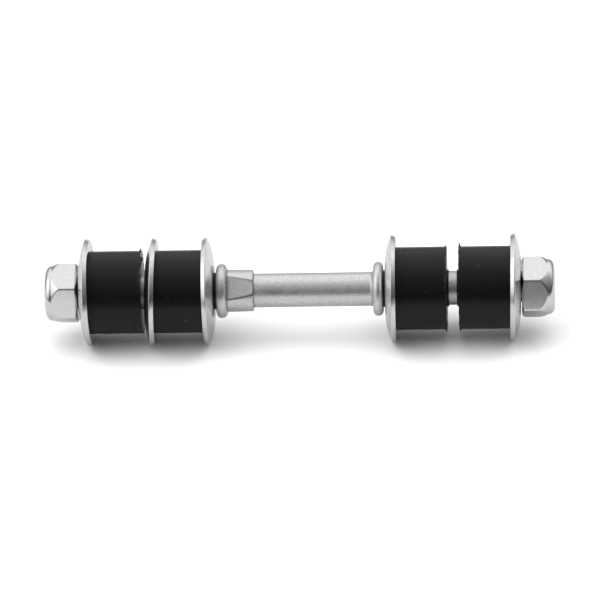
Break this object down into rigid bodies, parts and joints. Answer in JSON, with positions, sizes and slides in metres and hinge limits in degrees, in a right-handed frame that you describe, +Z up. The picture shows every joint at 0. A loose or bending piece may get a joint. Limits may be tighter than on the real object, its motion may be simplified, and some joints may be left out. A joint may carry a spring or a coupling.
{
  "type": "stabilizer link",
  "caption": "Through-rod stabilizer link: a collared rod whose threaded studs carry dished washers, rubber bushings and crowned lock nuts.",
  "frame": {"origin": "on the rod's axis, midway between the two ends of the assembly", "axes": "+X along the rod from the end with three washers towards the end with two, +Z up as it lies on its washers"},
  "size_m": [0.1468, 0.031, 0.031],
  "materials": {
    "forged_zinc": "zinc plate over a forged skin, matte and slightly grainy",
    "pressed_zinc": "zinc plate over pressed sheet, satin",
    "nut_zinc": "zinc plate over a cold-formed nut, semi-bright",
    "bushing_rubber": "moulded black rubber, dull",
    "insert_nylon": "natural nylon"
  },
  "bodies": {
    "rod": {"link_rod": "forged_zinc", "left_inner_bushing": "bushing_rubber", "right_inner_bushing": "bushing_rubber"},
    "left_inner_washer": {"left_inner_washer": "pressed_zinc"},
    "left_middle_washer": {"left_middle_washer": "pressed_zinc"},
    "left_outer_bushing": {"left_outer_bushing": "bushing_rubber"},
    "left_outer_washer": {"left_outer_washer": "pressed_zinc"},
    "left_lock_nut": {"left_lock_nut": "nut_zinc", "left_nut_insert": "insert_nylon"},
    "right_inner_washer": {"right_inner_washer": "pressed_zinc"},
    "right_outer_bushing": {"right_outer_bushing": "bushing_rubber"},
    "right_outer_washer": {"right_outer_washer": "pressed_zinc"},
    "right_lock_nut": {"right_lock_nut": "nut_zinc", "right_nut_insert": "insert_nylon"}
  },
  "joints": [
    {"name": "left_stack_slide", "type": "slide", "parent": "rod", "child": "left_outer_bushing", "axis": [-1, 0, 0], "range_m": [-0.00063, 0.00525]},
    {"name": "left_nut_turn", "type": "hinge", "parent": "left_outer_bushing", "child": "left_lock_nut", "pos_m": [-0.0687, 0, 0], "axis": [-1, 0, 0], "range_deg": [-181, 1513]},
    {"name": "left_outer_washer_spin", "type": "hinge", "parent": "left_outer_bushing", "child": "left_outer_washer", "pos_m": [-0.0624, 0, 0], "axis": [-1, 0, 0], "continuous": true},
    {"name": "left_middle_washer_spin", "type": "hinge", "parent": "rod", "child": "left_middle_washer", "pos_m": [-0.0433, 0, 0], "axis": [-1, 0, 0], "continuous": true},
    {"name": "left_inner_washer_spin", "type": "hinge", "parent": "rod", "child": "left_inner_washer", "pos_m": [-0.0263, 0, 0], "axis": [-1, 0, 0], "continuous": true},
    {"name": "right_inner_washer_spin", "type": "hinge", "parent": "rod", "child": "right_inner_washer", "pos_m": [0.0259, 0, 0], "axis": [1, 0, 0], "continuous": true},
    {"name": "right_stack_slide", "type": "slide", "parent": "rod", "child": "right_outer_bushing", "axis": [1, 0, 0], "range_m": [-0.002, 0.00525]},
    {"name": "right_nut_turn", "type": "hinge", "parent": "right_outer_bushing", "child": "right_lock_nut", "pos_m": [0.0687, 0, 0], "axis": [1, 0, 0], "range_deg": [-577, 1513]},
    {"name": "right_outer_washer_spin", "type": "hinge", "parent": "right_outer_bushing", "child": "right_outer_washer", "pos_m": [0.0623, 0, 0], "axis": [1, 0, 0], "continuous": true}
  ],
  "couplings": [
    {"joint": "left_nut_turn", "follows": "left_stack_slide", "rad_per_m": 5026.5},
    {"joint": "right_nut_turn", "follows": "right_stack_slide", "rad_per_m": 5026.5}
  ]
}
